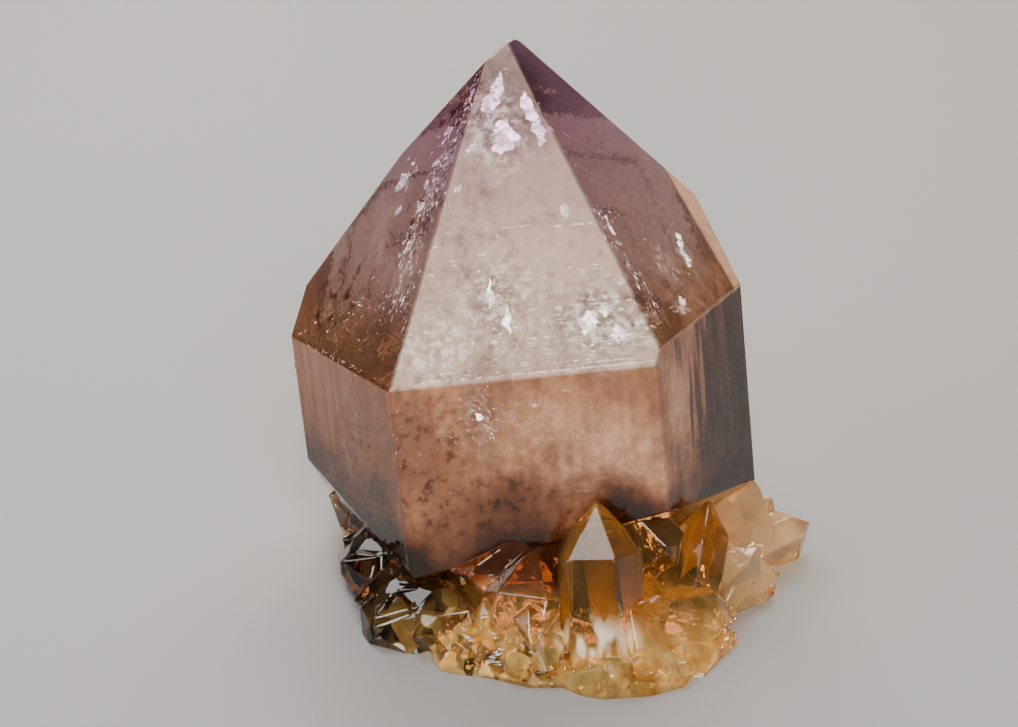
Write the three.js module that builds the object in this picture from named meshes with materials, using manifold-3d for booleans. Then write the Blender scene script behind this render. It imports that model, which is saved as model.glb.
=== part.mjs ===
// A quartz cluster: one large stubby crystal, smoky rose and lilac, that stands among
// small honey-coloured crystals grown from the same crust. All of it grew together,
// so it is one solid, cut off flat where it came away from the rock.
// Millimetres, +Z up, front towards -Y. The origin is the middle of the flat underside.

import * as THREE from 'three';
import { ConvexGeometry } from 'three/addons/geometries/ConvexGeometry.js';
import { mergeVertices } from 'three/addons/utils/BufferGeometryUtils.js';
import Module from 'manifold-3d';

const wasm = await Module();
wasm.setup();

// ---------------------------------------------------------------- driving dimensions

const PYRAMID_SLOPE = 51.79;       // quartz: angle of a tip face to the plane across its axis
const SAME_POINT = 1e-3;           // corners closer than this are one corner
const FACE_SLACK = 1e-6;           // planes flatter to each other than this don't meet
const GOLDEN_ANGLE = Math.PI * (3 - Math.sqrt(5));
const SMALL_UNEVEN = 0.22;         // share of its width that a small side face is off by
const TIP_UNEVEN = 0.10;           // the same for its tip faces
const LUMP_BREAKS = 26;            // flat breaks on a lump of crust
const LUMP_UNEVEN = 0.22;          // share of its size that a break may cut in
const ROCK_DEPTH = 30;             // the rock that is left behind: how thick a block is cut off
const ROCK_REACH = 80;             // and how far out that block runs

// The large crystal. Faces are numbered from the front one, going round to the right.
const TIP = [-0.6, 21.2, 81.4];    // where the six tip faces would meet
const ROOT = [7.5, 15.9, 0];       // where its axis meets the underside
const TURN = 1;                    // degrees about its axis
const PRISM = [33.2, 31.5, 23.7, 22.0, 29.6, 35.4];   // axis to each side face
const PYRAMID = [-0.25, -0.6, 0.5, -0.3, 3.0, 1.0];   // how far each tip face is set out

// The tip face behind on the left is bent into a flatter upper part and a steeper lower one.
const BENT_SIDE = 4;
const BENT_SLOPES = [45.4, 53.5];
const BENT_AT = [-16.6, 19.5, 62.0];

// ---------------------------------------------------------------- convex solids

const vector = (list) => new THREE.Vector3(...list);
const radians = THREE.MathUtils.degToRad;

// A face is a plane: its outward normal, and its distance from the origin along it.
function face(normal, distance) {
  return { normal: normal.clone().normalize(), distance };
}

function faceThrough(normal, point) {
  const unit = normal.clone().normalize();
  return { normal: unit, distance: unit.dot(point) };
}

function meetingPoint(a, b, c) {
  const bc = new THREE.Vector3().crossVectors(b.normal, c.normal);
  const volume = a.normal.dot(bc);
  if (Math.abs(volume) < FACE_SLACK) return null;
  const ca = new THREE.Vector3().crossVectors(c.normal, a.normal);
  const ab = new THREE.Vector3().crossVectors(a.normal, b.normal);
  return bc.multiplyScalar(a.distance)
    .addScaledVector(ca, b.distance)
    .addScaledVector(ab, c.distance)
    .divideScalar(volume);
}

// The closed solid that lies behind all the faces.
function solidBehind(faces) {
  const corners = [];
  const isInside = (point) => faces.every(
    (wall) => wall.normal.dot(point) < wall.distance + SAME_POINT / 2);
  const isNew = (point) => corners.every((corner) => corner.distanceTo(point) > SAME_POINT);
  for (let i = 0; i < faces.length; i += 1) {
    for (let j = i + 1; j < faces.length; j += 1) {
      for (let k = j + 1; k < faces.length; k += 1) {
        const point = meetingPoint(faces[i], faces[j], faces[k]);
        if (point && isInside(point) && isNew(point)) corners.push(point);
      }
    }
  }
  return toSolid(new ConvexGeometry(corners));
}

function toSolid(geometry) {
  geometry.deleteAttribute('normal');
  geometry.deleteAttribute('uv');
  const merged = mergeVertices(geometry, SAME_POINT / 2);
  return new wasm.Manifold(new wasm.Mesh({
    numProp: 3,
    vertProperties: new Float32Array(merged.attributes.position.array),
    triVerts: new Uint32Array(merged.index.array),
  }));
}

// ---------------------------------------------------------------- crystals and lumps

// The same number from 0 to 1 each time for a seed and an index, so growth looks uneven.
function chance(seed, index) {
  const wave = Math.sin(seed * 12.9898 + index * 78.233) * 43758.5453;
  return wave - Math.floor(wave);
}

// The way a face of the crystal looks. Sides are numbered from the one that faces front,
// and a slope of 90 degrees is a side face, a smaller one a tip face above it.
function outward(axis, turn, side, slope) {
  const front = new THREE.Vector3(0, -1, 0).projectOnPlane(axis).normalize();
  return front.applyAxisAngle(axis, radians(turn + side * 60))
    .multiplyScalar(Math.sin(radians(slope)))
    .addScaledVector(axis, Math.cos(radians(slope)));
}

function axisOf(tip, root) {
  return vector(tip).sub(vector(root)).normalize();
}

// Six side faces and six tip faces round the axis from root to tip, each set out by its own
// distance: a side face from the axis, a tip face from the tip.
function crystalFaces({ tip, root, turn = 0, prism, pyramid }) {
  const top = vector(tip);
  const axis = axisOf(tip, root);
  const faces = [faceThrough(axis.clone().negate(), vector(root))];
  for (let side = 0; side < 6; side += 1) {
    const level = outward(axis, turn, side, 90);
    const sloped = outward(axis, turn, side, PYRAMID_SLOPE);
    faces.push(face(level, level.dot(top) + prism[side]));
    faces.push(face(sloped, sloped.dot(top) + pyramid[side]));
  }
  return faces;
}

function crystal(shape) {
  return solidBehind(crystalFaces(shape));
}

// A crystal of one width whose faces are unevenly grown, as the small ones are.
function smallCrystal({ tip, root, across, turn = 0, seed }) {
  const prism = [];
  const pyramid = [];
  for (let side = 0; side < 6; side += 1) {
    prism.push(across / 2 * (1 + SMALL_UNEVEN * (chance(seed, side) - 0.5)));
    pyramid.push(across * TIP_UNEVEN * (chance(seed, side + 6) - 0.5));
  }
  return crystal({ tip, root, turn, prism, pyramid });
}

// Crust between the crystals: flat breaks all round an ellipsoid of the given half sizes.
function lump({ middle, half, breaks = LUMP_BREAKS, seed }) {
  const centre = vector(middle);
  const faces = [];
  for (let index = 0; index < breaks; index += 1) {
    const height = 1 - 2 * (index + 0.5) / breaks;
    const turn = index * GOLDEN_ANGLE + chance(seed, index);
    const ring = Math.sqrt(1 - height * height);
    const normal = new THREE.Vector3(ring * Math.cos(turn), ring * Math.sin(turn), height);
    const reach = normal.clone().multiply(vector(half)).length();
    const depth = reach * (1 - LUMP_UNEVEN * chance(seed, index + breaks));
    faces.push(face(normal, normal.dot(centre) + depth));
  }
  return solidBehind(faces);
}

// ---------------------------------------------------------------- the large crystal

// Below these breaks the large crystal has no clean side faces: it narrows into the crust.
const LOWER_BREAKS = [
  { at: [-31.3, 10, 14.7], faces: [-0.78, -0.38, -0.50] },
  { at: [-14.2, -17.2, 8.6], faces: [0.22, -0.60, -0.70] },
  { at: [23.3, -16.3, 19.3], faces: [0.55, -0.50, -0.56] },
  { at: [38.9, 9.8, 11.3], faces: [0.80, -0.05, -0.60] },
  { at: [20, 42, 12], faces: [0.3, 0.75, -0.60] },
  { at: [-20, 38, 13], faces: [-0.5, 0.6, -0.60] },
];

// Plates that grew further out on one side. Each is the large crystal again with its faces
// set in, but for one, so ledges parallel to the crystal's own edges run round it.
const TERRACES = [
  { prism: [-9, -9, -5, 0.8, -3, -9], pyramid: [-9, -9, -9, -5, -9, -9] },
  { prism: [-9, -9, -12, 1.5, -9, -9], pyramid: [-9, -9, -9, -12, -9, -9] },
  { prism: [-9, -7, 0.7, -4, -9, -9], pyramid: [-9, -9, -8, -9, -9, -9] },
  { prism: [-9, -9, -9, -6, 0.6, -5], pyramid: [-9, -9, -9, -9, -12, -9] },
  { prism: [-9, -9, -4, -6, -8, -9], pyramid: [-9, -9, -7, 0.6, -6, -9] },
];

// Where edges are knocked: the right shoulder, the front edges and the belt.
const CHIPS = [
  { middle: [36.9, 10.8, 44.9], half: [1.9, 2.4, 1.7], seed: 61 },
  { middle: [-4.9, 12.0, 76.0], half: [0.8, 1.1, 1.2], seed: 63 },
  { middle: [-9.3, 4.4, 66.6], half: [0.7, 0.9, 1.0], seed: 64 },
  { middle: [-33.9, 12.6, 30.0], half: [0.9, 1.3, 1.6], seed: 65 },
  { middle: [37.2, 21.6, 40.0], half: [1.2, 1.4, 1.6], seed: 66 },
];

function largeCrystal(sides = PRISM, tips = PYRAMID) {
  const faces = crystalFaces({ tip: TIP, root: ROOT, turn: TURN, prism: sides, pyramid: tips });
  for (const slope of BENT_SLOPES) {
    faces.push(faceThrough(outward(axisOf(TIP, ROOT), TURN, BENT_SIDE, slope), vector(BENT_AT)));
  }
  for (const cut of LOWER_BREAKS) {
    faces.push(faceThrough(vector(cut.faces), vector(cut.at)));
  }
  return solidBehind(faces);
}

function terrace({ prism, pyramid }) {
  const sides = PRISM.map((distance, side) => distance + prism[side]);
  const tips = PYRAMID.map((distance, side) => distance + pyramid[side]);
  return largeCrystal(sides, tips);
}

// ---------------------------------------------------------------- the small crystals

// In front, where each one is seen whole: the tall clear one, whose three front tip faces
// grew less than those behind, the pointed one right of it, and the block that lies between.
const FRONT_CRYSTALS = [
  {
    tip: [12.9, -18, 23], root: [14, -29, -4], turn: -8,
    prism: [5.8, 5.4, 5.6, 5.8, 6.2, 6.2], pyramid: [-0.9, -0.9, 0.1, 0, 0.1, -0.5],
  },
  {
    tip: [30, -9, 17.8], root: [26.6, -17, -2], turn: 20,
    prism: [5.3, 3.9, 4.4, 4.6, 4.6, 4.9], pyramid: [0.1, 0, -0.2, 0, 0, -0.1],
  },
  {
    tip: [34.8, -17, 2.4], root: [16.2, -26, 4.1], turn: 24,
    prism: [4.6, 5.2, 4.8, 4.8, 5.4, 4.6], pyramid: [-0.8, 0.2, 0, 0, 0.4, -0.2],
  },
];

const SIDE_CRYSTALS = [
  // right: pale ones that lean outwards
  { tip: [38.4, -4.5, 7.4], root: [26, -13, -1], across: 6.6, turn: 10, seed: 4 },
  { tip: [38.6, 8, 12.8], root: [33.5, 1, -1], across: 10, turn: 14, seed: 5 },
  { tip: [41.5, 11, 7.8], root: [36, 8, -1], across: 6.6, turn: 30, seed: 6 },
  { tip: [47.8, 8.8, 4.2], root: [33, 0, 1.5], across: 7.8, turn: 22, seed: 7 },
  // left of the tall one, from the large dark one down to the bright crumbs
  { tip: [3.8, -18, 13.9], root: [1.5, -27, -1], across: 12, turn: -14, seed: 8 },
  { tip: [3.3, -32, 5.6], root: [4.4, -18, 7.4], across: 7, turn: 8, seed: 9 },
  { tip: [-3.7, -24, 9.2], root: [-2.8, -28, -1], across: 3.4, turn: 5, seed: 10 },
  { tip: [-8.4, -24, 5.8], root: [-5, -26, -1], across: 3.6, turn: 18, seed: 11 },
  { tip: [-6, -23, 6.8], root: [-4, -26, -1], across: 3.2, turn: 40, seed: 12 },
  { tip: [-10.4, -25.8, 2.6], root: [-3, -24, 1.4], across: 3.8, turn: 0, seed: 13 },
  { tip: [-5.2, -31.2, 2.8], root: [0, -24, 3.4], across: 6, turn: 12, seed: 14 },
  { tip: [-1.6, -27.8, 5.6], root: [-1, -28, -1], across: 5, turn: 33, seed: 15 },
  { tip: [5.2, -34.4, 3], root: [5, -24, 4], across: 6.4, turn: 25, seed: 16 },
  { tip: [0.6, -34, 2], root: [3, -24, 2], across: 5, turn: 50, seed: 17 },
  { tip: [24.6, -34, 1.6], root: [18, -26, 1], across: 6, turn: 36, seed: 41 },
  { tip: [17.2, -37.4, 1.8], root: [14, -28, 1], across: 5.4, turn: 15, seed: 45 },
  { tip: [20.6, -35.6, 3.4], root: [17, -28, 0.6], across: 3.6, turn: 28, seed: 47 },
  { tip: [-9.4, -27.6, 1.4], root: [-2, -23, 1], across: 4.4, turn: 20, seed: 42 },
  { tip: [20.6, -20, 12], root: [20, -22, -1], across: 5, turn: 30, seed: 43 },
  // left: one that shows past the corner of the large crystal
  { tip: [-24.2, 6.6, 9.6], root: [-19.4, 8, -1], across: 5.4, turn: 20, seed: 18 },
  // left: dark ones, half sunk in the crust
  { tip: [-25.8, -1.6, 7.4], root: [-14, -2, 3], across: 9, turn: 14, seed: 46 },
  { tip: [-25.4, -9.4, 7.4], root: [-13, -5, 0], across: 7.6, turn: 40, seed: 48 },
  { tip: [-23.4, -14.2, 3], root: [-12, -10, 2], across: 8, turn: 10, seed: 49 },
  { tip: [-20.2, -23.2, 4.8], root: [-10, -12, 0], across: 6.8, turn: 26, seed: 50 },
  { tip: [-13.4, -26.6, 4.2], root: [-8, -14, 0], across: 5.8, turn: 5, seed: 51 },
];

// Behind, a loose row that leans outwards like the one in front.
const BACK_CRYSTALS = [
  { tip: [36, 22, 13], root: [28, 18, -1], across: 9, turn: 12, seed: 31 },
  { tip: [28, 36, 15], root: [22, 28, -1], across: 9.6, turn: -20, seed: 32 },
  { tip: [34, 32, 6], root: [22, 24, 1], across: 6.4, turn: 5, seed: 33 },
  { tip: [13, 37.5, 9], root: [12, 28, -1], across: 8.4, turn: 24, seed: 34 },
  { tip: [3, 38, 17], root: [4, 31, -1], across: 10.4, turn: -8, seed: 35 },
  { tip: [-8, 38, 5], root: [-2, 26, 1.5], across: 7.6, turn: 40, seed: 36 },
  { tip: [-17, 34, 12], root: [-10, 26, -1], across: 9, turn: 16, seed: 37 },
  { tip: [-27, 27, 8], root: [-16, 20, -1], across: 8, turn: -12, seed: 38 },
  { tip: [-29, 16, 5.5], root: [-17, 13, 0], across: 7, turn: 30, seed: 39 },
];

const LUMPS = [
  { middle: [6, 4, 3], half: [29, 27, 12], seed: 21 },
  { middle: [7, -24, 0], half: [18, 11.4, 4.4], breaks: 44, seed: 22 },
  { middle: [16, -30, 0], half: [12.4, 8.4, 3.2], breaks: 52, seed: 52 },
  { middle: [26, -21, 0], half: [7.6, 10.4, 3.6], seed: 24 },
  { middle: [33.5, -3, 0.5], half: [7.6, 11, 4.8], seed: 25 },
  { middle: [-17, -3, 3.2], half: [10.2, 11, 9.2], breaks: 84, seed: 26 },
  { middle: [-13.8, -15, 1], half: [9.8, 10.6, 8.2], breaks: 96, seed: 28 },
  { middle: [-4.6, -24.6, 0.5], half: [7.6, 6.6, 4], seed: 27 },
  { middle: [20, -12.4, 12.4], half: [6.6, 5.8, 6], seed: 29 },
  { middle: [8, 27, 0.5], half: [27, 12.4, 6], seed: 30 },
  { middle: [6, 8, -1], half: [31, 31, 5], seed: 44 },
];

// ---------------------------------------------------------------- the cluster

function cluster() {
  let whole = largeCrystal();
  for (const shape of FRONT_CRYSTALS) whole = whole.add(crystal(shape));
  for (const shape of SIDE_CRYSTALS) whole = whole.add(smallCrystal(shape));
  for (const shape of BACK_CRYSTALS) whole = whole.add(smallCrystal(shape));
  for (const shape of LUMPS) whole = whole.add(lump(shape));
  for (const shape of TERRACES) whole = whole.add(terrace(shape));
  for (const shape of CHIPS) whole = whole.subtract(lump(shape));
  const rock = solidBehind([
    face(new THREE.Vector3(0, 0, 1), 0),
    face(new THREE.Vector3(0, 0, -1), ROCK_DEPTH),
    face(new THREE.Vector3(1, 0, 0), ROCK_REACH),
    face(new THREE.Vector3(-1, 0, 0), ROCK_REACH),
    face(new THREE.Vector3(0, 1, 0), ROCK_REACH),
    face(new THREE.Vector3(0, -1, 0), ROCK_REACH),
  ]);
  return whole.subtract(rock);
}

function toGeometry(solid) {
  const mesh = solid.getMesh();
  const geometry = new THREE.BufferGeometry();
  geometry.setAttribute('position', new THREE.BufferAttribute(mesh.vertProperties, 3));
  geometry.setIndex(new THREE.BufferAttribute(mesh.triVerts, 1));
  return geometry;
}

const quartz = new THREE.MeshStandardMaterial({ color: 0xa07868, roughness: 0.12, metalness: 0 });
const geometry = toGeometry(cluster());
geometry.computeBoundingBox();
const middle = geometry.boundingBox.getCenter(new THREE.Vector3());
geometry.translate(-middle.x, -middle.y, -geometry.boundingBox.min.z);

const crystalCluster = new THREE.Mesh(geometry, quartz);
crystalCluster.name = 'crystal_cluster';

const part = new THREE.Group();
part.add(crystalCluster);
export default part;
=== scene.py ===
# %% [markdown]
# # A smoky lilac quartz point on a honey-coloured foot
#
# The real thing is one stubby crystal as thick as it is tall, hazy rose-brown inside with
# a lilac tip, standing in a ring of small clear crystals the colour of honey. The packed
# CAD model already has the flat faces. This lesson gives it knocked edges, a skin that
# lets light in, and what quartz holds inside: veils, bright cracks and dark specks.
# Blender counts in metres; the places and sizes below are written in millimetres, and MM
# turns them into metres. The front looks towards -Y.

import math
import random

import bpy
from mathutils import Matrix, Vector
from mathutils.bvhtree import BVHTree


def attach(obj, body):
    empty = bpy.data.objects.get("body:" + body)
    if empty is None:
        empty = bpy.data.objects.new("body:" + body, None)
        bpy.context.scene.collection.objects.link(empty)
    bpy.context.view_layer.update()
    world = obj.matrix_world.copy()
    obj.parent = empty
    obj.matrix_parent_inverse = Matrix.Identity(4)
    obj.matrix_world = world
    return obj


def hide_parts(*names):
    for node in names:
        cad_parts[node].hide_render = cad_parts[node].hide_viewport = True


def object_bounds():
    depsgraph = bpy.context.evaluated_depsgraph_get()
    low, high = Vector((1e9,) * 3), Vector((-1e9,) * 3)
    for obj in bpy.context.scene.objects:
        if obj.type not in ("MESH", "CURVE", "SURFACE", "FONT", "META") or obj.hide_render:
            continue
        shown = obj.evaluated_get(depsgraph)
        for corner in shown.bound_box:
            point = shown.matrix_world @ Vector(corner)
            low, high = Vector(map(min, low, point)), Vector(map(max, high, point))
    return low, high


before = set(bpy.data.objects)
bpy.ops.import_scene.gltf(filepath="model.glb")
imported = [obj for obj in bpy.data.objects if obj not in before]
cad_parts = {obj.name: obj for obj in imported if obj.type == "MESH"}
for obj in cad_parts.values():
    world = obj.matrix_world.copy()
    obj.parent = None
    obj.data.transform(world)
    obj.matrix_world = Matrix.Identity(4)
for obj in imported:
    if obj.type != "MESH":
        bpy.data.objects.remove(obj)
cad_box = [list(corner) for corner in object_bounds()]
MM = 0.001
NODE = "crystal_cluster"
print("box of the model, mm:", [[round(v / MM, 1) for v in corner] for corner in cad_box])

# %% [markdown]
# ## Where things are
#
# The large crystal's axis runs from the middle of its foot to the point where its six tip
# faces meet. Its side faces stand round that axis every 60 degrees, and each tip face
# rises above one of them at the angle that all quartz has. Knowing the axis, any place on
# a face can be named by its side, so the cracks and veils below need no measured tables.
# Side 0 looks to the front, and the others follow round to the right.

# %% The large crystal's axis and faces
TIP = Vector((-7.54, 19.06, 81.4))
FOOT = Vector((0.56, 13.76, 0.0))
AXIS = (TIP - FOOT).normalized()
SLOPE = math.radians(51.79)
TURN = math.radians(1)
SIDE_REACH = [33.2, 31.5, 23.7, 22.0, 29.6, 35.4]
TIP_REACH = [-0.25, -0.6, 0.5, -0.3, 3.0, 1.0]


def side_direction(side):
    front = Vector((0, -1, 0))
    front = (front - front.dot(AXIS) * AXIS).normalized()
    return Matrix.Rotation(TURN + math.radians(60 * side), 3, AXIS) @ front


def tip_direction(side):
    return side_direction(side) * math.sin(SLOPE) + AXIS * math.cos(SLOPE)


def face_frame(kind, side):
    """Where a face's own measures start, and its ways across, along and out, in mm."""
    across = AXIS.cross(side_direction(side))
    if kind == "side":
        outward = side_direction(side)
        return FOOT + SIDE_REACH[side] * outward, across, AXIS, outward
    outward = tip_direction(side)
    return TIP + TIP_REACH[side] * outward, across, across.cross(outward), outward


def under_face(kind, side, across, along, depth=0.0):
    """A place on a face, or the given depth behind it: up a side face, down a tip face."""
    start, across_way, along_way, outward = face_frame(kind, side)
    return start + across * across_way + along * along_way - depth * outward


for side in range(6):
    print("side", side, "looks", [round(v, 2) for v in side_direction(side)])

# %% [markdown]
# ## One skin, with knocked edges
#
# The CAD mesh is loose triangles, so the skin starts as a copy that is merged, and its
# flat faces are made whole again. A crystal's edges are sharp but never perfect: a bevel
# a fifth of a millimetre wide gives them the thin bright line that a hard edge has.

# %% Copy the model's mesh and make its faces whole
FLAT_WITHIN = math.radians(0.4)
EDGE_WIDTH = 0.22 * MM
SHORTEST_EDGE = 0.12 * MM
EDGE_FROM = math.radians(12)
STRAY_FROM = 0.15     # mm; where edges crowd together, a bevel can throw a corner off


def only(thing):
    bpy.ops.object.select_all(action="DESELECT")
    bpy.context.view_layer.objects.active = thing
    thing.select_set(True)


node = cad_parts[NODE]
skin = node.copy()
skin.data = node.data.copy()
skin.name = "quartz_skin"
bpy.context.scene.collection.objects.link(skin)
skin.parent = None
skin.matrix_world = node.matrix_world
only(skin)
bpy.ops.object.mode_set(mode="EDIT")
bpy.ops.mesh.select_all(action="SELECT")
bpy.ops.mesh.remove_doubles(threshold=SHORTEST_EDGE)
bpy.ops.mesh.dissolve_degenerate(threshold=SHORTEST_EDGE)
bpy.ops.mesh.dissolve_limited(angle_limit=FLAT_WITHIN)
bpy.ops.object.mode_set(mode="OBJECT")
print("flat faces:", len(skin.data.polygons))

# %% [markdown]
# ## Each face gets its own milkiness
#
# Quartz like this is clear in one sector and milky in the next, because each face grew at
# its own pace and trapped its own haze. So every face of the skin carries a number, how
# milky the crystal is behind it, and another that tells the foot from the large crystal.

# %% Name the faces of the large crystal and store what lies behind them
TIP_MILK = [0.56, 0.28, 0.45, 0.14, 0.36, 0.22]
SIDE_MILK = [0.70, 0.58, 0.30, 0.34, 0.34, 0.66]
FOOT_MILK = 0.05
SAME_WAY = math.cos(math.radians(2.5))
SAME_PLANE = 2.0


def large_crystal_milk(middle, normal):
    """The milkiness behind a face, or None where it isn't one of the large crystal's."""
    for side in range(6):
        for kind, milk in (("tip", TIP_MILK), ("side", SIDE_MILK)):
            start, _, _, outward = face_frame(kind, side)
            off = abs((middle - start).dot(outward))
            if normal.dot(outward) > SAME_WAY and off < SAME_PLANE:
                return milk[side]
    return None


milk_layer = skin.data.attributes.new("milk", "FLOAT", "FACE")
foot_layer = skin.data.attributes.new("foot", "FLOAT", "FACE")
for polygon in skin.data.polygons:
    found = large_crystal_milk(polygon.center / MM, polygon.normal)
    milk_layer.data[polygon.index].value = FOOT_MILK if found is None else found
    foot_layer.data[polygon.index].value = 1.0 if found is None else 0.0
print("faces of the foot:", sum(1 for item in foot_layer.data if item.value > 0.5))

# %% Knock the edges
def search_tree(mesh):
    return BVHTree.FromPolygons([vertex.co / MM for vertex in mesh.vertices],
                                [tuple(polygon.vertices) for polygon in mesh.polygons])


sharp = search_tree(skin.data)
bevel = skin.modifiers.new("edges", "BEVEL")
bevel.width = EDGE_WIDTH
bevel.segments = 2
bevel.use_clamp_overlap = False
bevel.limit_method = "ANGLE"
bevel.angle_limit = EDGE_FROM
bpy.ops.object.modifier_apply(modifier="edges")
strays = 0
for vertex in skin.data.vertices:
    nearest, _, _, distance = sharp.find_nearest(vertex.co / MM)
    if distance > STRAY_FROM:
        vertex.co = nearest * MM
        strays += 1
surface = search_tree(skin.data)
print("skin faces:", len(skin.data.polygons), "corners brought back:", strays)

# %% [markdown]
# ## A short way to write shader maths
#
# Nodes wired one by one are hard to read. Here a socket is wrapped, so `1 - mask` or
# `veil * 0.4` adds the Math node by itself, and every other node comes from one method
# that takes its type, its settings and its inputs.

# %% A value that maths can be written on, and a shader that adds its own nodes
class Value:
    """What comes out of a node. Maths written on it adds Math nodes."""

    def __init__(self, shader, socket):
        self.shader = shader
        self.socket = socket

    def maths(self, operation, first, second):
        return self.shader.node("Math", {"operation": operation}, {0: first, 1: second})

    def __add__(self, other):
        return self.maths("ADD", self, other)

    def __radd__(self, other):
        return self.maths("ADD", other, self)

    def __sub__(self, other):
        return self.maths("SUBTRACT", self, other)

    def __rsub__(self, other):
        return self.maths("SUBTRACT", other, self)

    def __mul__(self, other):
        return self.maths("MULTIPLY", self, other)

    def __rmul__(self, other):
        return self.maths("MULTIPLY", other, self)

    def __truediv__(self, other):
        return self.maths("DIVIDE", self, other)

    def __rtruediv__(self, other):
        return self.maths("DIVIDE", other, self)

    def least(self, other):
        return self.maths("MINIMUM", self, other)

    def most(self, other):
        return self.maths("MAXIMUM", self, other)

    def also(self, output):
        """Another of the values that come out of the same node."""
        return Value(self.shader, self.socket.node.outputs[output])

    def rise(self, low, high):
        """0 at low, 1 at high, smooth between; it falls where low is the larger."""
        settings = {"interpolation_type": "SMOOTHSTEP"}
        return self.shader.node("MapRange", settings, {0: self, 1: low, 2: high})


class Shader:
    """A material and the one method that adds its nodes."""

    def __init__(self, name):
        self.material = bpy.data.materials.new(name)
        self.material.use_nodes = True
        self.tree = self.material.node_tree
        self.tree.nodes.clear()

    def node(self, kind, settings=None, inputs=None, output=0):
        made = self.tree.nodes.new("ShaderNode" + kind)
        for key, value in (settings or {}).items():
            setattr(made, key, value)
        for key, value in (inputs or {}).items():
            if isinstance(value, Value):
                self.tree.links.new(value.socket, made.inputs[key])
            else:
                made.inputs[key].default_value = value
        return Value(self, made.outputs[output]) if made.outputs else None

    def place(self):
        """Where on the object a point is, in millimetres."""
        metres = self.node("TexCoord", output=3)
        return self.node("VectorMath", {"operation": "SCALE"}, {0: metres, "Scale": 1 / MM}, 0)

    def blend(self, mask, below, above):
        """Two colours in one: the mask says how much of the second."""
        return self.node("Mix", {"data_type": "RGBA"}, {0: mask, 6: below, 7: above}, 2)

    def mixed(self, mask, below, above):
        """Two shaders in one: the mask says how much of the second."""
        return self.node("MixShader", {}, {0: mask, 1: below, 2: above})

    def window(self, colour):
        """A shader that lets light go straight through and tints it."""
        return self.node("BsdfTransparent", {}, {"Color": colour})

    def lamp_lit(self, glass, window):
        """Glass to the eye, but a window to rays on their way to a lamp."""
        return self.mixed(self.node("LightPath", {}, {}, 1), glass, window)


# %% Patterns that the finishes share
def along(shader, place, way, start=(0, 0, 0)):
    """How far a point is from start, measured along one way, in mm."""
    offset = shader.node("VectorMath", {"operation": "SUBTRACT"}, {0: place, 1: start})
    return shader.node("VectorMath", {"operation": "DOT_PRODUCT"}, {0: offset, 1: way}, 1)


def drawn_out(shader, place, across_size, along_size):
    """Coordinates for a pattern whose grains are stretched along the crystal's axis."""
    east = AXIS.cross(side_direction(0))
    north = AXIS.cross(east)
    parts = {
        0: along(shader, place, east) / across_size,
        1: along(shader, place, north) / across_size,
        2: along(shader, place, AXIS) / along_size,
    }
    return shader.node("CombineXYZ", {}, parts)


def cloud(shader, place, size=1.0, detail=3.0, roughness=0.5):
    inputs = {"Vector": place, "Scale": 1 / size, "Detail": detail, "Roughness": roughness}
    return shader.node("TexNoise", {}, inputs)


def grains(shader, place, size):
    """Small grains that fill the place: a random number and a random way for each."""
    cells = shader.node("TexVoronoi", {}, {"Vector": place, "Scale": 1 / size})
    random_way = cells.also(1)
    number = shader.node("SeparateColor", {}, {0: random_way})
    return number, random_way


def near(shader, place, middle, half, softness=0.35):
    """1 inside an ellipsoid with these half sizes, fading to 0 round it."""
    offset = shader.node("VectorMath", {"operation": "SUBTRACT"}, {0: place, 1: middle})
    scaled = shader.node("VectorMath", {"operation": "DIVIDE"}, {0: offset, 1: half})
    distance = shader.node("VectorMath", {"operation": "LENGTH"}, {0: scaled}, 1)
    return distance.rise(1 + softness, 1 - softness)


# %% [markdown]
# ## What the quartz looks like
#
# The skin is two materials mixed. One is plain clear glass with quartz's refraction, which
# soaks up a little light on every millimetre. The other is milky: light goes in, wanders
# and comes out again, which makes the body glow. The milk number stored on each face sets
# how much of the second there is, and clouds, mottles and streaks break it up. The colours
# follow the crystal: lilac at the tip, rose-brown in the body, honey in the foot. Where the
# body meets the foot, and in streaks up its right side, it turns dark brown and smoky, and
# this is partly painted shade; painted shade also darkens the front of the foot just below.
# Soft patches, each named by its face, make it brighter or darker in places; some are a
# painted glow, paler and milkier where light would come through from behind. In some the
# milk thins out, so that the cracks behind it show. Rays on their way to a lamp go straight
# through the clear part, because bent ones would hardly ever find the lamp. What changes
# over the surface reaches the shaders only by their colours, roughness and normals, and by
# how they are mixed.

# %% Its numbers, colours and places
QUARTZ_IOR = 1.544
ABSORBED_TINT = (0.74, 0.55, 0.47, 1)
ABSORPTION = 62.0     # per metre
MOST_MILK = 0.94
WANDERS = 1.4     # mm that light goes through the milky part
WANDERS_BY_COLOUR = (1.0, 0.72, 0.5)

# colours of the milky part
LILAC = (0.30, 0.15, 0.24, 1)
MAUVE = (0.44, 0.29, 0.28, 1)
TAN = (0.85, 0.50, 0.32, 1)
# painted glow: a paler colour where light would come through from behind
PAINTED_GLOW = (0.80, 0.50, 0.38, 1)
ROSE = (0.36, 0.135, 0.065, 1)
DARK_ROSE = (0.31, 0.09, 0.032, 1)
PALE_ROSE = (0.67, 0.295, 0.145, 1)
# brown: painted shade in the front of the foot, and brown colour with painted shade where the body
# meets the foot
BROWN = (0.12, 0.034, 0.010, 1)
FRONT_PALE = (0.96, 0.69, 0.55, 1)
FROST = (1.0, 0.95, 0.90, 1)
TAUPE = (0.46, 0.30, 0.24, 1)
HONEY = (0.80, 0.36, 0.06, 1)
PALE_HONEY = (1.0, 0.68, 0.22, 1)
FEATHER = (1.0, 0.88, 0.70, 1)
# smoky near-black with painted shade, where the body meets the foot
SMOKE_AND_SHADE = (0.030, 0.010, 0.004, 1)
OLIVE = (0.055, 0.026, 0.004, 1)
CREAM = (0.94, 0.62, 0.34, 1)

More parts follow.
